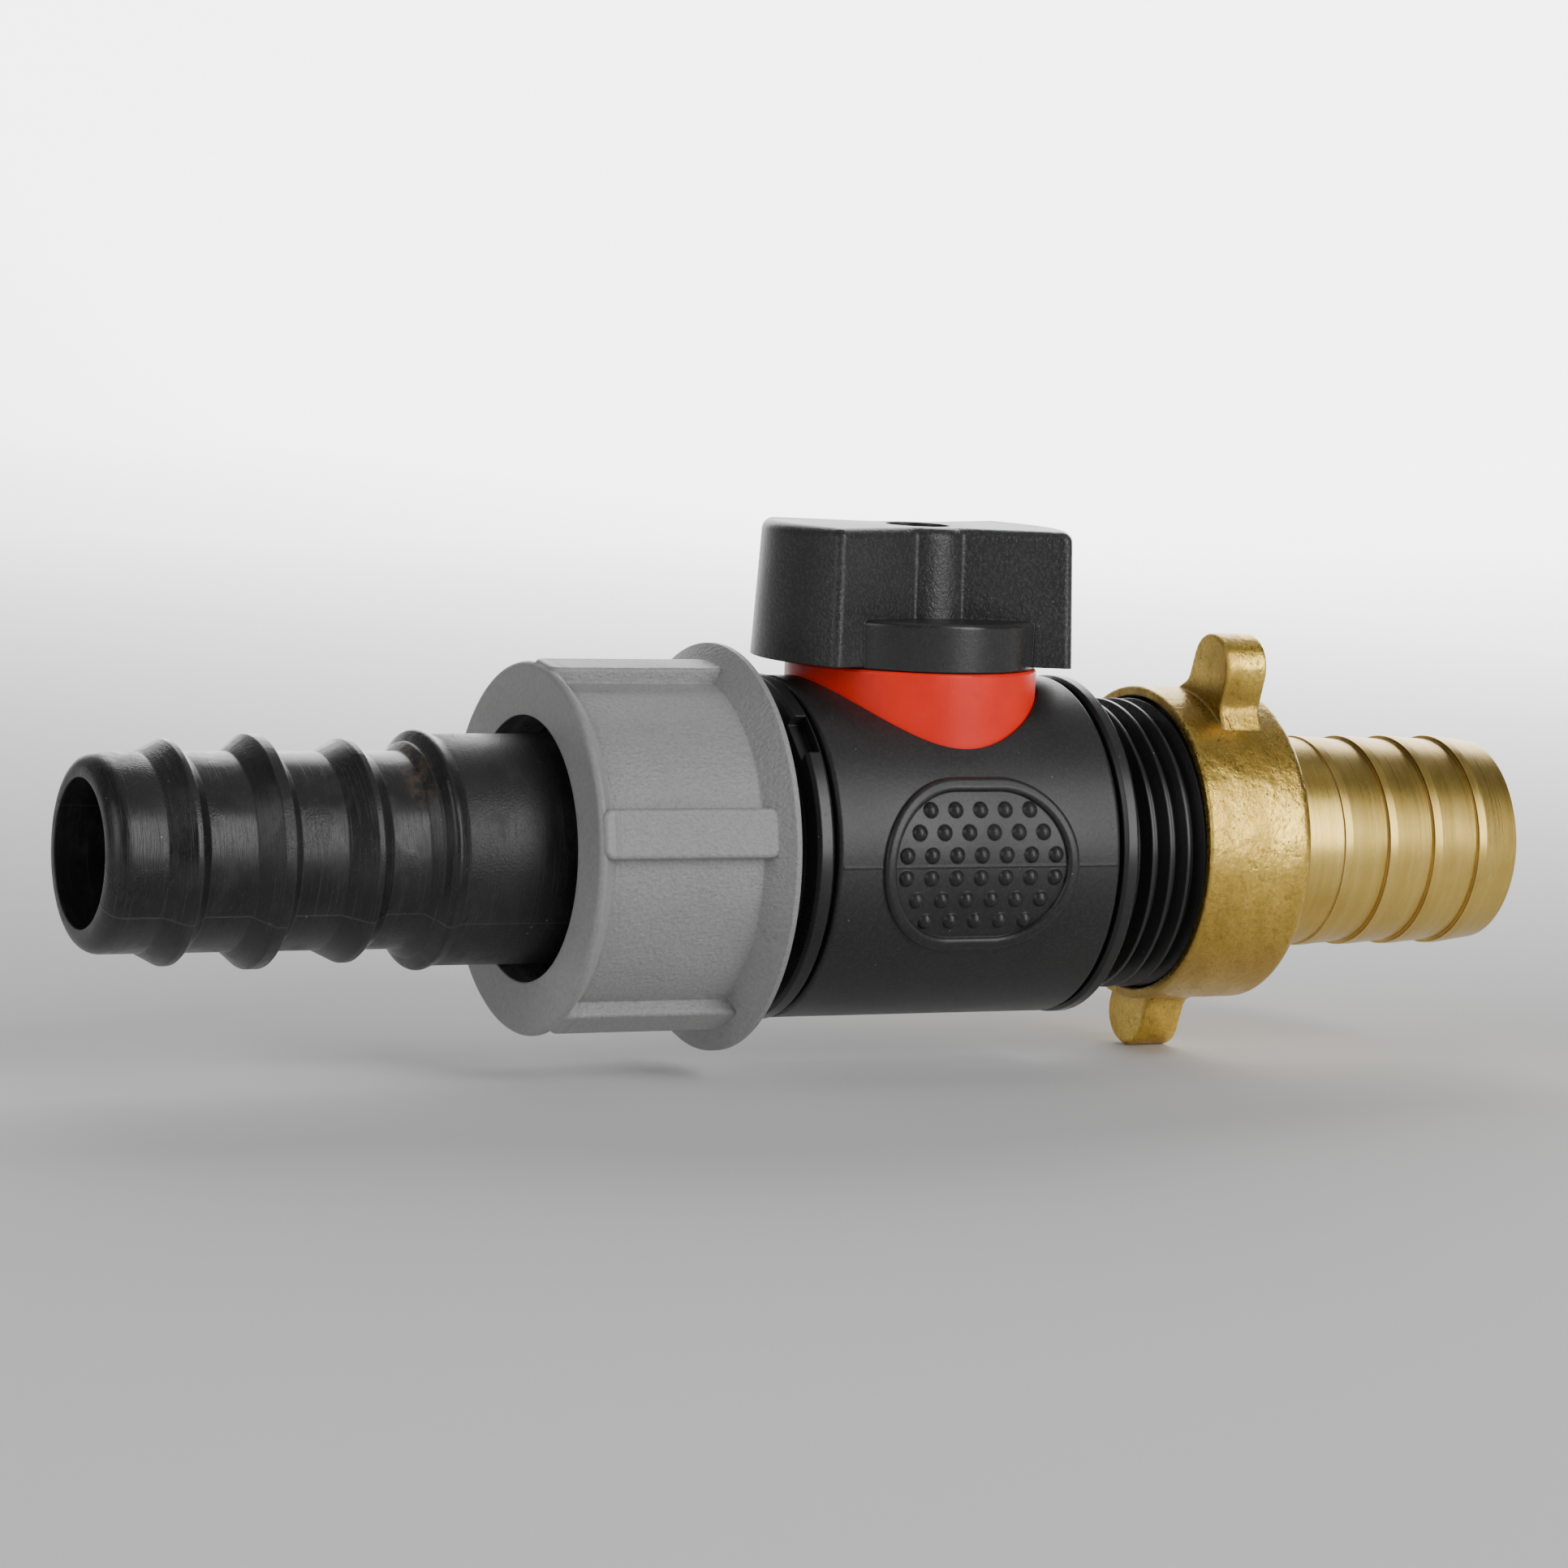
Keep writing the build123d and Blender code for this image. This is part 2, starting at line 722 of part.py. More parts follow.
tail_flange_x0 = outlet_face_x + gasket_thickness
tail_flange_thickness = 1.8
tail_flange_x1 = tail_flange_x0 + tail_flange_thickness
tail_flange_r = 12.6
outlet_gasket_inner_r = 8.4
outlet_gasket_outer_r = 11.9

with BuildPart() as union_gasket_right:
    with BuildSketch(Plane.YZ.offset(outlet_face_x)):
        Circle(outlet_gasket_outer_r)
        Circle(outlet_gasket_inner_r, mode=Mode.SUBTRACT)
    extrude(amount=gasket_thickness)

wing_mouth_x = 23.8
wing_mouth_r = 13.5
wing_wall_r = 14.35
wing_lip_x = tail_flange_x1 + face_gap
wing_end_x = 34.7
wing_end_round = 1.0
wing_mouth_round = 0.25
tail_shank_r = 9.6
wing_lip_gap = 0.5
wing_lip_r = tail_shank_r + wing_lip_gap
ear_angle = 70.5
ear_x0 = 27.65
ear_thickness = 4.15
ear_root_r = 13.4
ear_root_half = 4.8
ear_waist_r = 15.1
ear_waist_half = 3.15
ear_tip_r = 20.75
ear_tip_half = 3.05
ear_tip_round = 2.9
ear_waist_round = 1.6
ear_edge = 0.25

with BuildPart() as wing_ears:
    ear_up = barrel_point(0, ear_angle, 1.0)
    ear_side = Vector(1, 0, 0).cross(ear_up)
    for sign in (1, -1):
        ear_plane = Plane(origin=(ear_x0, 0, 0), x_dir=ear_side * sign, z_dir=(1, 0, 0))
        with BuildSketch(ear_plane) as ear_section:
            with BuildLine():
                Polyline(
                    (-ear_root_half, ear_root_r),
                    (-ear_waist_half, ear_waist_r),
                    (-ear_tip_half, ear_tip_r),
                    (ear_tip_half, ear_tip_r),
                    (ear_waist_half, ear_waist_r),
                    (ear_root_half, ear_root_r),
                    close=True,
                )
            make_face()
            tip_corners = ear_section.vertices().filter_by(lambda v: abs(v.Y - ear_tip_r) < pick_margin)
            fillet(tip_corners, ear_tip_round)
            waist_corners = ear_section.vertices().filter_by(lambda v: abs(v.Y - ear_waist_r) < pick_margin)
            fillet(waist_corners, ear_waist_round)
        extrude(amount=ear_thickness)
    ear_rims = wing_ears.faces().filter_by(Axis.X).edges()
    fillet(
        ear_rims.filter_by(lambda e: math.hypot(e.center().Y, e.center().Z) > ear_root_r + 0.5),
        ear_edge,
    )

with BuildPart() as wing_nut:
    bore = female_grooves(wing_mouth_x + nut_groove_lead, tail_flange_x0)
    outline = [(wing_mouth_x, wing_mouth_r)] + bore
    outline += [
        (wing_lip_x, nut_bore_r),
        (wing_lip_x, wing_lip_r),
        (wing_end_x, wing_lip_r),
        (wing_end_x, wing_wall_r),
        (wing_mouth_x, wing_wall_r),
    ]
    revolve(turned(outline), axis=Axis.X)
    end_edges = wing_nut.edges().filter_by(GeomType.CIRCLE)
    end_edges = end_edges.filter_by(lambda edge: abs(edge.radius - wing_wall_r) < pick_margin)
    fillet(end_edges.sort_by(Axis.X)[-1], wing_end_round)
    fillet(end_edges.sort_by(Axis.X)[0], wing_mouth_round)
    add(wing_ears.part)

tail_end_x = 60.2
tail_end_r = 9.26
tail_step_x = 40.9
tail_step_pitch = 4.87
tail_step_count = 4
tail_crest_r = 9.75
tail_valley_r = 9.42
tail_land = 0.8
tail_end_edge = 0.35

with BuildPart() as hose_tail:
    outline = [
        (tail_flange_x0, outlet_bore_r),
        (tail_flange_x0, tail_flange_r),
        (tail_flange_x1, tail_flange_r),
        (tail_flange_x1, tail_shank_r),
    ]
    foot_r = tail_shank_r
    for step in range(tail_step_count):
        step_x = tail_step_x + step * tail_step_pitch
        outline.append((step_x, foot_r))
        outline.append((step_x, tail_crest_r))
        outline.append((step_x + tail_land, tail_crest_r))
        foot_r = tail_valley_r
    outline.append((tail_end_x, tail_end_r))
    outline.append((tail_end_x, outlet_bore_r))
    revolve(turned(outline), axis=Axis.X)
    end_face = hose_tail.faces().sort_by(Axis.X)[-1]
    chamfer(end_face.edges(), tail_end_edge)

# ---- Export -------------------------------------------------------------------------------

pieces = {
    "valve_body": valve_body,
    "end_connector": end_connector,
    "connector_o_ring": connector_o_ring,
    "ball_seat_left": ball_seat_left,
    "ball_seat_right": ball_seat_right,
    "seat_o_ring_left": seat_o_ring_left,
    "seat_o_ring_right": seat_o_ring_right,
    "stem_collar": stem_collar,
    "ball": ball,
    "stem": stem,
    "stem_o_ring_lower": stem_o_ring_lower,
    "stem_o_ring_upper": stem_o_ring_upper,
    "stem_thrust_washer": stem_thrust_washer,
    "knob": knob,
    "knob_screw": knob_screw,
    "screw_washer": screw_washer,
    "union_gasket_left": union_gasket_left,
    "union_nut": union_nut,
    "hose_barb": hose_barb,
    "union_gasket_right": union_gasket_right,
    "wing_nut": wing_nut,
    "hose_tail": hose_tail,
}
for label, piece in pieces.items():
    piece.part.label = label
    export_step(piece.part, f"parts/{label}.step")
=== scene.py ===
import bpy
import json
import math
from mathutils import Matrix, Vector


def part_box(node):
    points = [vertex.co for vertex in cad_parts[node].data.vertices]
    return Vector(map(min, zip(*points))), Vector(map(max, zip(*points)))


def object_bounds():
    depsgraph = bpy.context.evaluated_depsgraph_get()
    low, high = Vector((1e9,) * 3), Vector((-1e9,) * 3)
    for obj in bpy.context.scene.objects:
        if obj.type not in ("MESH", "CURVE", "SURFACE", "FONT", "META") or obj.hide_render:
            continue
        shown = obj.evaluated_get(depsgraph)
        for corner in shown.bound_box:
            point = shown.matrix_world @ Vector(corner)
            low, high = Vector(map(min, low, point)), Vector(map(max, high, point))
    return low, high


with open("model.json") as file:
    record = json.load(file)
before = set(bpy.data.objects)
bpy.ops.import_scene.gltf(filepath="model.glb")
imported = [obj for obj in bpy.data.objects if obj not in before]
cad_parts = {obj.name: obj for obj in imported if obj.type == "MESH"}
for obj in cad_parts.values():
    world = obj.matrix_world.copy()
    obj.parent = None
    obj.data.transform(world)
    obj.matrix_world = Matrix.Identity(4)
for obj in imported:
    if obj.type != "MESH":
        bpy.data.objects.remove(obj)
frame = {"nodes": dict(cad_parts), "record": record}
cad_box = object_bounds()

MM = 0.001

# ---- Node helpers -------------------------------------------------------------------------


def new_material(name):
    """Empty node material and its tree."""
    material = bpy.data.materials.new(name)
    material.use_nodes = True
    material.node_tree.nodes.clear()
    return material, material.node_tree


def node(tree, kind, inputs=None, **settings):
    """Adds a shader node; inputs are values or sockets, by name or index."""
    item = tree.nodes.new("ShaderNode" + kind)
    for key, value in settings.items():
        setattr(item, key, value)
    for key, value in (inputs or {}).items():
        if isinstance(value, bpy.types.NodeSocket):
            tree.links.new(value, item.inputs[key])
        else:
            item.inputs[key].default_value = value
    return item


def maths(tree, operation, first, second=0.0):
    """One Math node's result."""
    return node(tree, "Math", {0: first, 1: second}, operation=operation).outputs[0]


def place_mm(tree):
    """The surface point in millimetres, in the piece's own frame."""
    point = node(tree, "TexCoord").outputs["Object"]
    scaled = node(tree, "VectorMath", {0: point, "Scale": 1 / MM}, operation="SCALE")
    return scaled.outputs["Vector"]


def stretched(tree, point, scale, turn=(0.0, 0.0, 0.0)):
    """The point turned, then scaled by a different amount along each axis."""
    turned = node(tree, "VectorRotate", {"Vector": point, "Rotation": turn}, rotation_type="EULER_XYZ")
    scaled = node(tree, "VectorMath", {0: turned.outputs[0], 1: scale}, operation="MULTIPLY")
    return scaled.outputs["Vector"]


def around_flow(tree, point, along, around):
    """Coordinates that run along X and around it with no seam; around is per radian."""
    parts = node(tree, "SeparateXYZ", {0: point}).outputs
    square = maths(tree, "ADD", maths(tree, "POWER", parts[1], 2.0), maths(tree, "POWER", parts[2], 2.0))
    radius = maths(tree, "SQRT", square)
    side = maths(tree, "MULTIPLY", maths(tree, "DIVIDE", parts[1], radius), around)
    height = maths(tree, "MULTIPLY", maths(tree, "DIVIDE", parts[2], radius), around)
    station = maths(tree, "MULTIPLY", parts[0], along)
    return node(tree, "CombineXYZ", {0: station, 1: side, 2: height}).outputs[0]


def noise(tree, point, scale, detail=3.0, roughness=0.5):
    """Noise between about 0.3 and 0.7."""
    inputs = {"Vector": point, "Scale": scale, "Detail": detail, "Roughness": roughness}
    return node(tree, "TexNoise", inputs).outputs["Fac"]


def ramp(tree, value, low, high, out_low=0.0, out_high=1.0):
    """Maps low..high to out_low..out_high and holds it there outside."""
    item = node(
        tree,
        "MapRange",
        {"Value": value, "From Min": low, "From Max": high, "To Min": out_low, "To Max": out_high},
        clamp=True,
    )
    return item.outputs["Result"]


def spread(tree, value, out_low=0.0, out_high=1.0):
    """Stretches the usual range of a noise over out_low..out_high."""
    return ramp(tree, value, 0.35, 0.65, out_low, out_high)


def blend(tree, amount, first, second):
    """Mixes two colours."""
    item = node(tree, "Mix", {"Factor": amount}, data_type="RGBA")
    for index, value in ((6, first), (7, second)):
        if isinstance(value, bpy.types.NodeSocket):
            tree.links.new(value, item.inputs[index])
        else:
            item.inputs[index].default_value = (*value, 1.0)
    return item.outputs[2]


def specks(tree, point, scale, size, share):
    """Scattered dots: scale sets their spacing, size their radius, share how many cells have one."""
    cells = node(tree, "TexVoronoi", {"Vector": point, "Scale": scale})
    dot = ramp(tree, cells.outputs["Distance"], size, size * 0.5)
    chosen = node(tree, "SeparateColor", {0: cells.outputs["Color"]}).outputs[0]
    return maths(tree, "MULTIPLY", dot, maths(tree, "LESS_THAN", chosen, share))


def strokes(tree, point, length, width, turn, cut):
    """Fine straight scratches about length by width, in one direction on each face; cut sets how few."""
    line = noise(tree, stretched(tree, point, (1 / length, 1 / width, 1 / width), turn), 1.0, 1.0)
    return ramp(tree, line, cut, cut + 0.06)


def edge_wear_and_highlight(tree, reach):
    """1 on outside edges within reach, 0 on open faces; the mask for lighter edges that are part wear and
    part painted highlight.
    """
    soft = node(tree, "Bevel", {"Radius": reach * MM}, samples=6).outputs[0]
    sharp = node(tree, "NewGeometry").outputs["Normal"]
    cosine = node(tree, "VectorMath", {0: soft, 1: sharp}, operation="DOT_PRODUCT").outputs["Value"]
    return ramp(tree, cosine, 0.995, 0.9)


def bumped(tree, layers, edge_reach):
    """Normal with rounded edges and a chain of (height, depth in mm) layers on top."""
    normal = node(tree, "Bevel", {"Radius": edge_reach * MM}, samples=6).outputs[0]
    for height, depth in layers:
        inputs = {"Height": height, "Strength": 1.0, "Distance": depth * MM, "Normal": normal}
        normal = node(tree, "Bump", inputs).outputs[0]
    return normal


def finish_material(tree, colour, roughness, normal, **constants):
    """Principled shader and output; constants are set directly on its sockets."""
    inputs = {"Base Color": colour, "Roughness": roughness, "Normal": normal}
    shader = node(tree, "BsdfPrincipled", inputs)
    for key, value in constants.items():
        shader.inputs[key.replace("_", " ")].default_value = value
    node(tree, "OutputMaterial", {0: shader.outputs[0]})


# ---- Plastics -----------------------------------------------------------------------------


def grained_plastic(name, dark, light, grain_mm, grain_depth, gloss, peak_highlight, smooth):
    """Moulded black plastic: eroded grain with painted highlights on its peaks, patchy sheen, scuffs,
    dust, and lighter edges that are part wear and part painted highlight; smooth is a mask's function.
    """
    material, tree = new_material(name)
    point = place_mm(tree)
    bare = smooth(tree, point)
    grain_share = ramp(tree, bare, 0.0, 1.0, 1.0, 0.2)
    grain = noise(tree, point, 1 / grain_mm, 2.0, 0.6)
    fine = noise(tree, point, 2.7 / grain_mm, 2.0, 0.5)
    patches = noise(tree, point, 0.11, 1.0)
    marks = maths(
        tree,
        "MAXIMUM",
        strokes(tree, point, 4.0, 0.09, (0.4, 0.9, 0.3), 0.68),
        strokes(tree, point, 3.0, 0.07, (1.3, 0.2, 1.1), 0.69),
    )
    dots = maths(tree, "MULTIPLY", specks(tree, point, 0.8, 0.07, 0.22), 0.3)
    # Lighter edges: part wear, part painted highlight
    edges = maths(tree, "MULTIPLY", edge_wear_and_highlight(tree, 0.25), 0.06)
    # Painted highlight: the raised peaks of the grain are lightened in colour
    painted_peak_highlights = maths(tree, "MULTIPLY", ramp(tree, grain, 0.45, 0.65, 0.0, peak_highlight), grain_share)
    colour = blend(tree, ramp(tree, patches, 0.2, 0.8), dark, light)
    colour = blend(tree, painted_peak_highlights, colour, (0.075, 0.075, 0.077))
    colour = blend(tree, edges, colour, (0.06, 0.06, 0.062))
    colour = blend(tree, maths(tree, "MULTIPLY", marks, 0.25), colour, (0.09, 0.09, 0.092))
    colour = blend(tree, dots, colour, (0.5, 0.48, 0.45))
    sheen = ramp(tree, patches, 0.2, 0.8, gloss - 0.06, gloss + 0.06)
    sheen = maths(tree, "SUBTRACT", sheen, maths(tree, "MULTIPLY", bare, 0.09))
    roughness = maths(tree, "ADD", sheen, maths(tree, "MULTIPLY", marks, 0.12))
    coarse_height = maths(tree, "MULTIPLY", grain, grain_share)
    fine_height = maths(tree, "MULTIPLY", fine, grain_share)
    layers = [(coarse_height, grain_depth), (fine_height, 0.4 * grain_depth), (marks, -0.003)]
    normal = bumped(tree, layers, 0.18)
    finish_material(tree, colour, roughness, normal, Specular_IOR_Level=0.42)
    return material


# Where the plain barrel ends, and the knob's skirt, in mm
BARREL_END = 14.2
SKIRT_TOP = 20.8
SKIRT_R = 11.05


def past_the_barrel(tree, point):
    """1 on the rings and threads beyond the plain barrel, 0 on the barrel."""
    x = node(tree, "SeparateXYZ", {0: point}).outputs[0]
    return ramp(tree, maths(tree, "ABSOLUTE", x), BARREL_END - 0.1, BARREL_END + 0.1)


def on_the_skirt(tree, point):
    """1 on the knob's round skirt, 0 on its grip."""
    parts = node(tree, "SeparateXYZ", {0: point}).outputs
    square = maths(tree, "ADD", maths(tree, "POWER", parts[0], 2.0), maths(tree, "POWER", parts[1], 2.0))
    low = ramp(tree, parts[2], SKIRT_TOP + 0.05, SKIRT_TOP - 0.05)
    rim = ramp(tree, square, (SKIRT_R - 0.45) ** 2, (SKIRT_R - 0.15) ** 2)
    within = ramp(tree, square, (SKIRT_R + 0.15) ** 2, (SKIRT_R + 0.05) ** 2)
    return maths(tree, "MULTIPLY", low, maths(tree, "MULTIPLY", rim, within))


# Places on the hose barb, in mm along X, and the angle of its parting line
SLEEVE_START = -46.8
STAIN_X = -49.6
SEAM_TILT = math.radians(-32)


def handled_barb(name):
    """Semi-gloss black plastic: fine rings, scuffs, pale specks, a mould line and a brown stain."""
    material, tree = new_material(name)
    point = place_mm(tree)
    parts = node(tree, "SeparateXYZ", {0: point}).outputs
    on_sleeve = ramp(tree, parts[0], SLEEVE_START - 0.4, SLEEVE_START + 0.4)
    rings = noise(tree, around_flow(tree, point, 9.0, 3.0), 1.0, 3.0, 0.6)
    hairlines = ramp(tree, noise(tree, around_flow(tree, point, 12.0, 1.5), 1.0, 1.0), 0.62, 0.7)
    scuffs = strokes(tree, point, 2.4, 0.08, (0.2, 1.1, 0.6), 0.67)
    eroded = noise(tree, point, 4.6, 2.0, 0.6)
    pitted = ramp(tree, noise(tree, point, 0.22, 2.0), 0.5, 0.6)
    patches = noise(tree, point, 0.16, 3.0)
    rubbed = ramp(tree, noise(tree, around_flow(tree, point, 0.5, 2.5), 1.0, 4.0, 0.65), 0.52, 0.66)
    dots = maths(tree, "MULTIPLY", specks(tree, point, 0.8, 0.075, 0.25), 0.45)
    # Lighter edges: part wear, part painted highlight
    edges = maths(tree, "MULTIPLY", edge_wear_and_highlight(tree, 0.3), 0.3)
    # Parting line of the mould: a thin flash in a plane through the axis
    across = maths(tree, "MULTIPLY", parts[1], math.sin(SEAM_TILT))
    above = maths(tree, "MULTIPLY", parts[2], math.cos(SEAM_TILT))
    off_seam = maths(tree, "ABSOLUTE", maths(tree, "ADD", above, across))
    seam = ramp(tree, off_seam, 0.14, 0.05)
    # Stain left beside the collar, on the upper side
    stain_x = maths(tree, "ABSOLUTE", maths(tree, "SUBTRACT", parts[0], STAIN_X))
    stain = maths(tree, "MULTIPLY", ramp(tree, stain_x, 1.6, 0.6), ramp(tree, parts[2], 3.0, 7.0))
    stain = maths(tree, "MULTIPLY", stain, ramp(tree, noise(tree, point, 1.1, 4.0, 0.7), 0.44, 0.6))
    colour = blend(tree, spread(tree, patches), (0.010, 0.010, 0.0105), (0.019, 0.019, 0.0195))
    colour = blend(tree, maths(tree, "MULTIPLY", rubbed, 0.25), colour, (0.045, 0.045, 0.046))
    colour = blend(tree, edges, colour, (0.06, 0.06, 0.06))
    colour = blend(tree, maths(tree, "MULTIPLY", hairlines, 0.2), colour, (0.1, 0.1, 0.1))
    colour = blend(tree, maths(tree, "MULTIPLY", scuffs, 0.2), colour, (0.12, 0.12, 0.12))
    colour = blend(tree, maths(tree, "MULTIPLY", stain, 0.6), colour, (0.11, 0.075, 0.05))
    colour = blend(tree, maths(tree, "MULTIPLY", seam, 0.3), colour, (0.07, 0.07, 0.07))
    colour = blend(tree, dots, colour, (0.5, 0.48, 0.45))
    sheen = spread(tree, patches, 0.27, 0.36)
    sheen = maths(tree, "ADD", sheen, maths(tree, "MULTIPLY", on_sleeve, 0.1))
    roughness = maths(tree, "ADD", sheen, maths(tree, "MULTIPLY", rubbed, 0.12))
    smooth_part = ramp(tree, on_sleeve, 0.0, 1.0, 1.0, 0.1)
    ring_height = maths(tree, "MULTIPLY", rings, smooth_part)
    erosion = maths(tree, "MULTIPLY", eroded, maths(tree, "MAXIMUM", on_sleeve, pitted))
    layers = [(ring_height, 0.018), (erosion, 0.045), (hairlines, -0.006), (scuffs, -0.006), (seam, 0.03)]
    normal = bumped(tree, layers, 0.25)
    finish_material(tree, colour, roughness, normal, Specular_IOR_Level=0.4)
    return material


def grey_nut_plastic(name):
    """Mid-grey plastic with a fine wavy eroded grain, a smoother front band and faint smudges."""
    material, tree = new_material(name)
    point = place_mm(tree)
    x = node(tree, "SeparateXYZ", {0: point}).outputs[0]
    nut_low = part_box("union_nut")[0].x / MM
    grained = ramp(tree, x, nut_low + 1.3, nut_low + 1.9)
    grain = noise(tree, point, 3.0, 2.0, 0.55)
    waves = noise(tree, stretched(tree, point, (1.4, 3.0, 3.0), (0.0, 0.0, 0.5)), 1.0, 2.0)
    patches = noise(tree, point, 0.09, 3.0)
    smudge_place = noise(tree, stretched(tree, point, (0.16, 0.3, 0.3)), 1.0, 2.0)
    smudge_grain = noise(tree, point, 1.6, 3.0, 0.7)
    smudge = maths(
        tree,
        "MULTIPLY",
        ramp(tree, smudge_place, 0.62, 0.7),
        ramp(tree, smudge_grain, 0.52, 0.62),
    )
    marks = strokes(tree, point, 2.5, 0.1, (0.5, 0.2, 0.9), 0.7)
    dots = maths(tree, "MULTIPLY", specks(tree, point, 0.5, 0.07, 0.12), 0.4)
    # Lighter edges: part wear, part painted highlight
    edges = maths(tree, "MULTIPLY", edge_wear_and_highlight(tree, 0.25), 0.1)
    colour = blend(tree, spread(tree, patches), (0.305, 0.305, 0.305), (0.345, 0.345, 0.343))
    colour = blend(tree, spread(tree, grain, 0.35, 0.0), colour, (0.2, 0.2, 0.2))
    colour = blend(tree, edges, colour, (0.45, 0.45, 0.45))
    colour = blend(tree, maths(tree, "MULTIPLY", smudge, 0.35), colour, (0.2, 0.14, 0.13))
    colour = blend(tree, dots, colour, (0.12, 0.11, 0.11))
    roughness = spread(tree, patches, 0.44, 0.54)
    height = maths(tree, "MULTIPLY", maths(tree, "ADD", grain, waves), grained)
    normal = bumped(tree, [(height, 0.1), (marks, -0.006)], 0.3)
    finish_material(tree, colour, roughness, normal, Specular_IOR_Level=0.5)
    return material


def red_plastic(name):
    """Satin orange-red plastic, slightly translucent, with a fine grain."""
    material, tree = new_material(name)
    point = place_mm(tree)
    patches = noise(tree, point, 0.2, 3.0)
    grain = noise(tree, point, 5.0, 2.0)
    grime = ramp(tree, noise(tree, point, 0.7, 4.0, 0.65), 0.6, 0.75, 0.0, 0.25)
    # Lighter edges: part wear, part painted highlight
    edges = maths(tree, "MULTIPLY", edge_wear_and_highlight(tree, 0.2), 0.3)
    colour = blend(tree, spread(tree, patches), (0.90, 0.018, 0.005), (1.0, 0.028, 0.008))
    colour = blend(tree, grime, colour, (0.5, 0.015, 0.006))
    colour = blend(tree, edges, colour, (0.8, 0.12, 0.05))
    roughness = spread(tree, patches, 0.36, 0.46)
    normal = bumped(tree, [(grain, 0.012)], 0.15)
    subsurface = {"Subsurface_Weight": 0.1, "Subsurface_Scale": 0.0006, "Specular_IOR_Level": 0.32}
    finish_material(tree, colour, roughness, normal, **subsurface)
    return material


def plain_part(name, dark, light, gloss, metal=0.0, size_mm=0.4, depth=0.004):
    """Inner pieces: fine mottling in colour, sheen and surface."""
    material, tree = new_material(name)
    point = place_mm(tree)
    mottle = noise(tree, point, 1 / size_mm, 3.0)
    wide = noise(tree, point, 0.3, 2.0)
    colour = blend(tree, spread(tree, wide), dark, light)
    roughness = spread(tree, mottle, gloss - 0.04, gloss + 0.06)
    normal = bumped(tree, [(mottle, depth)], 0.1)
    finish_material(tree, colour, roughness, normal, Metallic=metal)
    return material


# ---- Brass --------------------------------------------------------------------------------


def above_and_below(tree, point, start, full, end):
    """0 at the height of the axis, 1 from full to end away from it, 0 again past the end; the mask of the
    painted shade on the brass.
    """
    height = maths(tree, "ABSOLUTE", node(tree, "SeparateXYZ", {0: point}).outputs[2])
    rise = ramp(tree, height, start, full)
    return maths(tree, "MULTIPLY", rise, ramp(tree, height, end, end + 1.5, 1.0, 0.0))


def tumbled_brass(name):
    """Forged and tumbled brass: small dents, short scratches every way, darker tarnished streaks."""
    material, tree = new_material(name)
    point = place_mm(tree)
    swell = noise(tree, point, 0.5, 3.0, 0.55)
    orange_peel = noise(tree, point, 2.6, 3.0, 0.6)
    dent_place = stretched(tree, point, (1.5, 0.8, 0.8), (0.5, 0.3, 0.9))
    dents = ramp(tree, noise(tree, dent_place, 1.0, 3.0, 0.6), 0.58, 0.68)
    pits = specks(tree, point, 1.5, 0.16, 0.3)
    scratches = maths(
        tree,
        "MAXIMUM",
        strokes(tree, point, 2.2, 0.07, (0.5, 0.8, 0.2), 0.62),
        strokes(tree, point, 1.8, 0.06, (1.5, 0.3, 1.2), 0.63),
    )
    streak_place = stretched(tree, point, (0.35, 0.12, 0.12), (0.1, 0.2, 0.4))
    tarnish = ramp(tree, noise(tree, streak_place, 1.0, 4.0, 0.6), 0.45, 0.62)
    marks = maths(tree, "MAXIMUM", dents, pits)
    # Lighter edges: part wear, part painted highlight
    edges = edge_wear_and_highlight(tree, 0.3)
    colour = blend(tree, spread(tree, orange_peel), (0.64, 0.42, 0.075), (0.86, 0.59, 0.125))
    # Painted shade: the brass is darker above and below the axis, fading out again past the end height
    painted_shade_above_below = above_and_below(tree, point, 3.0, 10.0, 14.5)
    colour = blend(tree, maths(tree, "MULTIPLY", painted_shade_above_below, 0.7), colour, (0.34, 0.22, 0.045))
    colour = blend(tree, maths(tree, "MULTIPLY", tarnish, 0.45), colour, (0.36, 0.21, 0.04))
    colour = blend(tree, maths(tree, "MULTIPLY", edges, 0.5), colour, (0.92, 0.74, 0.36))
    colour = blend(tree, maths(tree, "MULTIPLY", scratches, 0.3), colour, (0.88, 0.68, 0.3))
    colour = blend(tree, maths(tree, "MULTIPLY", marks, 0.3), colour, (0.24, 0.15, 0.035))
    sheen = spread(tree, orange_peel, 0.25, 0.34)
    roughness = maths(tree, "ADD", sheen, maths(tree, "MULTIPLY", tarnish, 0.08))
    layers = [(swell, 0.14), (orange_peel, 0.02), (dents, -0.022), (pits, -0.025), (scratches, -0.012)]
    normal = bumped(tree, layers, 0.4)
    finish_material(tree, colour, roughness, normal, Metallic=1.0)
    return material


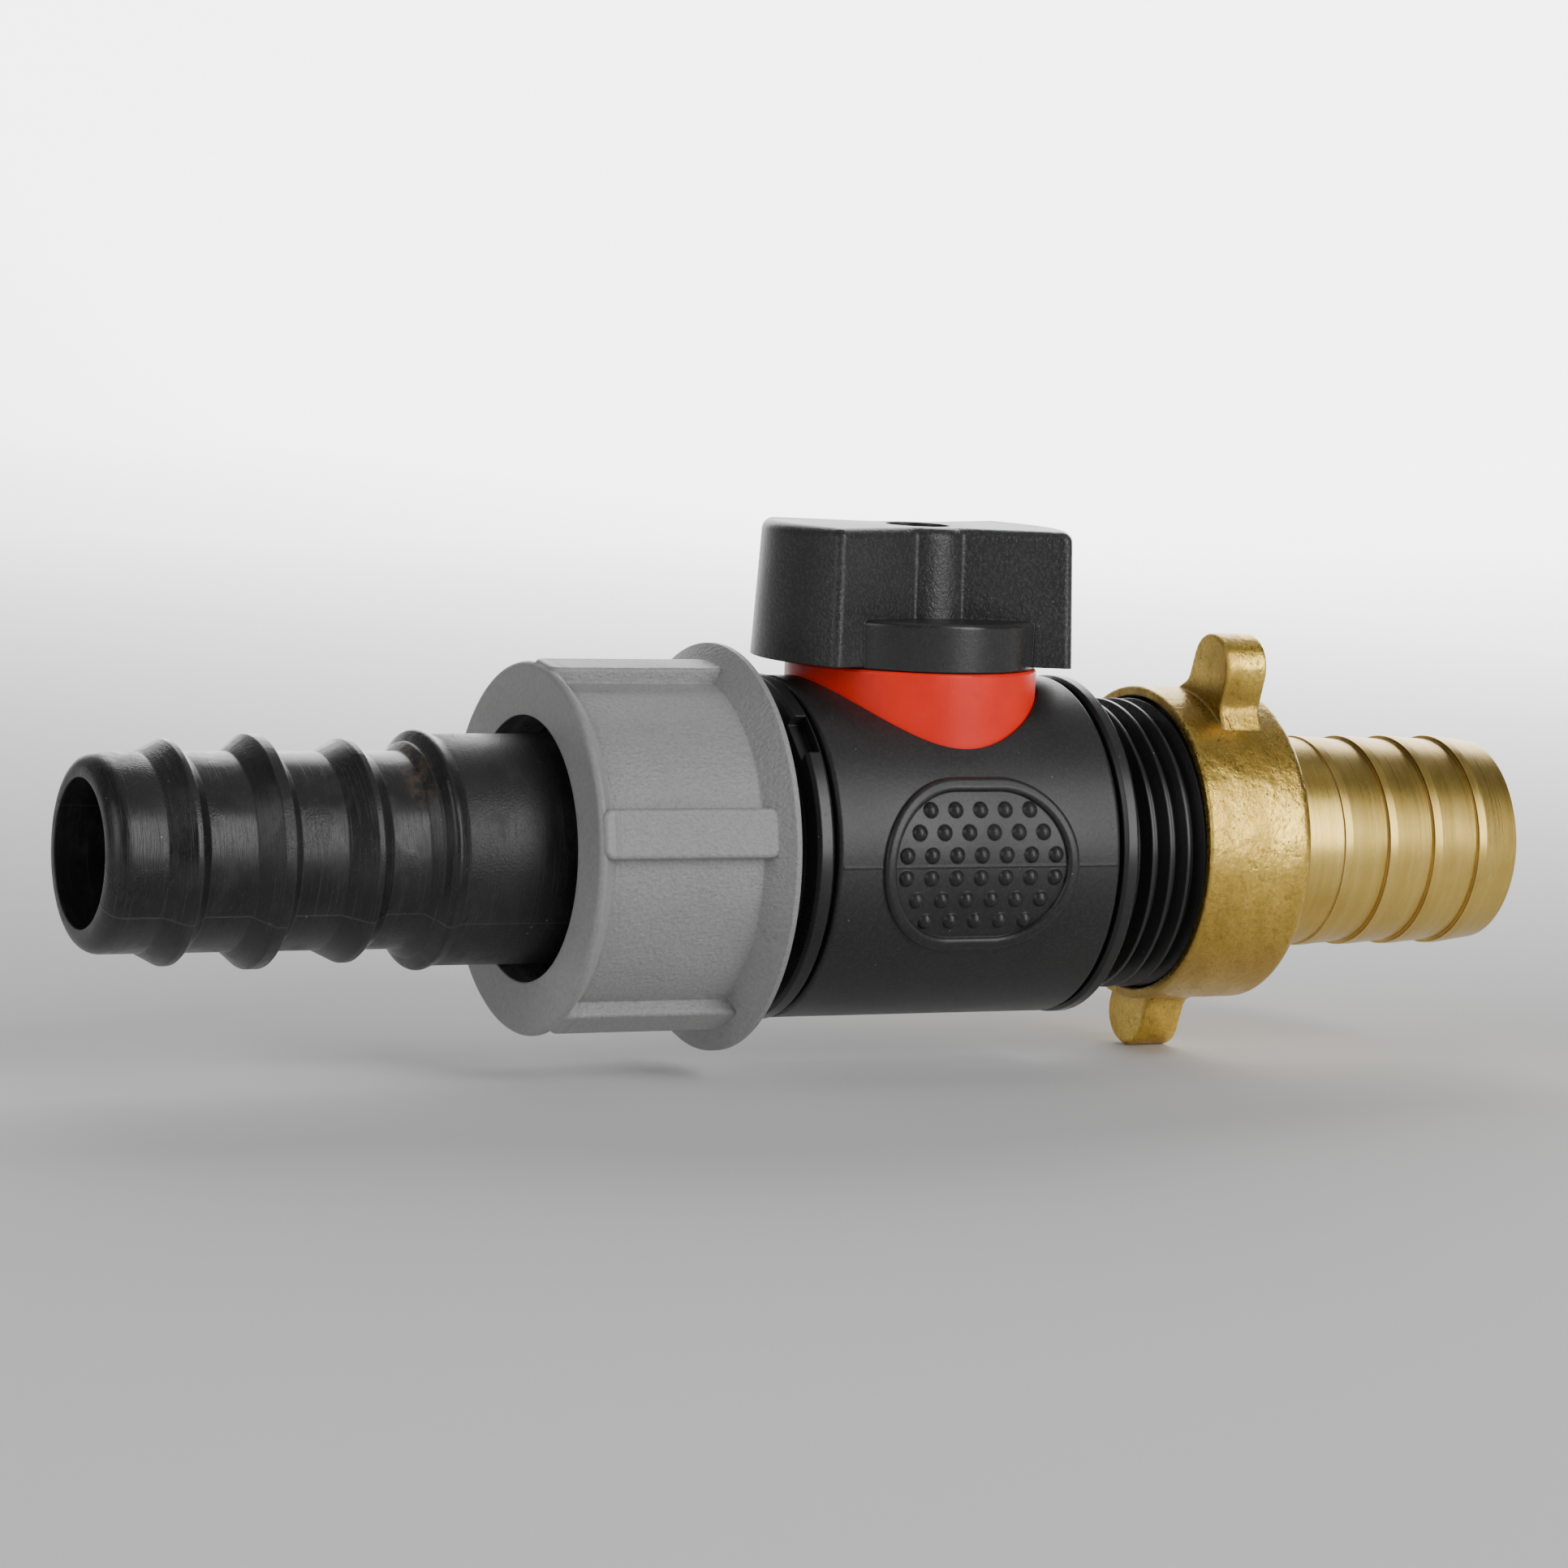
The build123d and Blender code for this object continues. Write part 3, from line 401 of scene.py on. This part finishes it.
def turned_brass(name):
    """Machined brass with fine tool lines around X and light handling marks."""
    material, tree = new_material(name)
    point = place_mm(tree)
    lines = noise(tree, around_flow(tree, point, 11.0, 0.5), 1.0, 3.0, 0.7)
    bands = noise(tree, around_flow(tree, point, 1.3, 0.5), 1.0, 2.0)
    patches = noise(tree, point, 0.2, 3.0)
    scratches = strokes(tree, point, 2.2, 0.07, (0.9, 0.4, 0.7), 0.66)
    # Lighter edges: part wear, part painted highlight
    edges = edge_wear_and_highlight(tree, 0.15)
    colour = blend(tree, spread(tree, bands), (0.66, 0.46, 0.115), (0.74, 0.53, 0.15))
    # Painted shade: the brass is darker above and below the axis, fading out again past the end height
    painted_shade_above_below = above_and_below(tree, point, 2.5, 9.0, 14.5)
    colour = blend(tree, maths(tree, "MULTIPLY", painted_shade_above_below, 0.65), colour, (0.38, 0.25, 0.055))
    colour = blend(tree, ramp(tree, patches, 0.45, 0.7, 0.0, 0.35), colour, (0.46, 0.29, 0.06))
    colour = blend(tree, maths(tree, "MULTIPLY", edges, 0.5), colour, (0.9, 0.77, 0.46))
    colour = blend(tree, maths(tree, "MULTIPLY", scratches, 0.3), colour, (0.9, 0.8, 0.55))
    sheen = spread(tree, lines, 0.26, 0.36)
    roughness = maths(tree, "ADD", sheen, maths(tree, "MULTIPLY", scratches, 0.1))
    normal = bumped(tree, [(lines, 0.007), (bands, 0.004), (scratches, -0.004)], 0.1)
    finish_material(tree, colour, roughness, normal, Metallic=1.0)
    return material


# Darkest and lightest black of each piece
BARREL_TONES = ((0.014, 0.014, 0.0145), (0.022, 0.022, 0.0225))
KNOB_TONES = ((0.017, 0.017, 0.0175), (0.027, 0.027, 0.0275))

MATERIALS = {
    "black_plastic": grained_plastic(
        "black_plastic",
        *BARREL_TONES,
        grain_mm=0.3,
        grain_depth=0.012,
        gloss=0.4,
        peak_highlight=0.15,
        smooth=past_the_barrel,
    ),
    "knob_plastic": grained_plastic(
        "knob_plastic",
        *KNOB_TONES,
        grain_mm=0.3,
        grain_depth=0.06,
        gloss=0.34,
        peak_highlight=0.35,
        smooth=on_the_skirt,
    ),
    "barb_plastic": handled_barb("barb_plastic"),
    "grey_plastic": grey_nut_plastic("grey_plastic"),
    "red_plastic": red_plastic("red_plastic"),
    "seal_rubber": plain_part("seal_rubber", (0.015, 0.015, 0.015), (0.03, 0.03, 0.03), 0.6),
    "seat_ptfe": plain_part("seat_ptfe", (0.75, 0.75, 0.72), (0.85, 0.85, 0.83), 0.4),
    "ball_chrome": plain_part("ball_chrome", (0.7, 0.7, 0.72), (0.8, 0.8, 0.82), 0.12, metal=1.0),
    "brass_cast": tumbled_brass("brass_cast"),
    "brass_turned": turned_brass("brass_turned"),
    "steel": plain_part("steel", (0.45, 0.45, 0.46), (0.6, 0.6, 0.61), 0.3, metal=1.0),
}

slots = {part["node"]: part["material_slot"] for part in frame["record"]["subparts"]}
for name, item in frame["nodes"].items():
    item.data.materials.clear()
    item.data.materials.append(MATERIALS[slots[name]])

# ---- Camera -------------------------------------------------------------------------------

AZIMUTH = math.radians(-26.82)
ELEVATION = math.radians(6.15)
ROLL = math.radians(2.8)
DISTANCE = 495.85 * MM
TARGET = Vector((-12.08, 0.0, 5.52)) * MM
SENSOR = 36.0
LENS = 128.28

back = Vector(
    (
        math.sin(AZIMUTH) * math.cos(ELEVATION),
        -math.cos(AZIMUTH) * math.cos(ELEVATION),
        math.sin(ELEVATION),
    )
)
level = Vector((0, 0, 1)).cross(back).normalized()
upright = back.cross(level)
right = level * math.cos(ROLL) + upright * math.sin(ROLL)
above = upright * math.cos(ROLL) - level * math.sin(ROLL)

lens = bpy.data.cameras.new("camera")
lens.sensor_width = SENSOR
lens.lens = LENS
lens.clip_start = 0.01
camera = bpy.data.objects.new("camera", lens)
bpy.context.scene.collection.objects.link(camera)
facing = Matrix((right, above, back)).transposed().to_4x4()
camera.matrix_world = Matrix.Translation(TARGET + back * DISTANCE) @ facing
bpy.context.scene.camera = camera

# ---- Floor and light ----------------------------------------------------------------------

SWEEP_HALF_WIDTH = 3.0
SWEEP_FRONT_Y = -3.0
SWEEP_BEND_Y = 1.0
SWEEP_BEND_RADIUS = 0.6
SWEEP_TOP = 1.8
SWEEP_STEPS = 24

# The backdrop glows more towards the back and the right; places in mm
GLOW_STRENGTH = 4.5
GLOW_FULL_Y = 650.0
GLOW_LEFT_X = -150.0
GLOW_RIGHT_X = 350.0
WORLD_STRENGTH = 0.12

# A pale floor that curves up into a back wall
floor_z = cad_box[0].z
profile = [(SWEEP_FRONT_Y, floor_z)]
for step in range(SWEEP_STEPS + 1):
    turn = math.radians(90 * step / SWEEP_STEPS)
    bend_y = SWEEP_BEND_Y + SWEEP_BEND_RADIUS * math.sin(turn)
    bend_z = floor_z + SWEEP_BEND_RADIUS * (1 - math.cos(turn))
    profile.append((bend_y, bend_z))
profile.append((SWEEP_BEND_Y + SWEEP_BEND_RADIUS, SWEEP_TOP))

corners = [(side * SWEEP_HALF_WIDTH, y, z) for y, z in profile for side in (-1, 1)]
strips = [(2 * i, 2 * i + 1, 2 * i + 3, 2 * i + 2) for i in range(len(profile) - 1)]
floor_mesh = bpy.data.meshes.new("floor")
floor_mesh.from_pydata(corners, [], strips)
floor_mesh.shade_smooth()
floor = bpy.data.objects.new("floor", floor_mesh)
bpy.context.scene.collection.objects.link(floor)

floor_material, floor_tree = new_material("floor")
floor_point = place_mm(floor_tree)
floor_tone = ramp(floor_tree, noise(floor_tree, floor_point, 0.002, 2.0), 0.3, 0.7)
floor_colour = blend(floor_tree, floor_tone, (0.71, 0.71, 0.71), (0.73, 0.73, 0.73))
floor_parts = node(floor_tree, "SeparateXYZ", {0: floor_point}).outputs
floor_far = ramp(floor_tree, floor_parts[1], 0.0, GLOW_FULL_Y, 0.0, GLOW_STRENGTH)
floor_side = ramp(floor_tree, floor_parts[0], GLOW_LEFT_X, GLOW_RIGHT_X)
floor_glow = maths(floor_tree, "MULTIPLY", floor_far, floor_side)
floor_diffuse = node(floor_tree, "BsdfDiffuse", {"Color": floor_colour}).outputs[0]
floor_light = node(floor_tree, "Emission", {"Strength": floor_glow}).outputs[0]
floor_surface = node(floor_tree, "AddShader", {0: floor_diffuse, 1: floor_light}).outputs[0]
node(floor_tree, "OutputMaterial", {0: floor_surface})
floor_mesh.materials.append(floor_material)

world = bpy.data.worlds.new("studio")
world.use_nodes = True
backdrop = world.node_tree.nodes["Background"]
backdrop.inputs["Color"].default_value = (1.0, 1.0, 1.0, 1.0)
backdrop.inputs["Strength"].default_value = WORLD_STRENGTH
bpy.context.scene.world = world


LIGHT_DISTANCE = 1.0


def softbox(name, direction, width, height, power):
    """Area light in a direction from the object, aimed at its middle; power in watts."""
    lamp = bpy.data.lights.new(name, "AREA")
    lamp.shape = "RECTANGLE"
    lamp.size = width
    lamp.size_y = height
    lamp.energy = power
    holder = bpy.data.objects.new(name, lamp)
    bpy.context.scene.collection.objects.link(holder)
    holder.location = TARGET + Vector(direction).normalized() * LIGHT_DISTANCE
    holder.rotation_euler = Vector(direction).to_track_quat("Z", "Y").to_euler()


softbox("key", (0.42, -0.80, 0.38), 0.38, 0.8, 7.2)
softbox("fill", (-1.0, -0.3, 0.35), 0.6, 0.6, 3.0)
softbox("top", (0.2, -0.1, 1.0), 0.8, 0.8, 0.8)
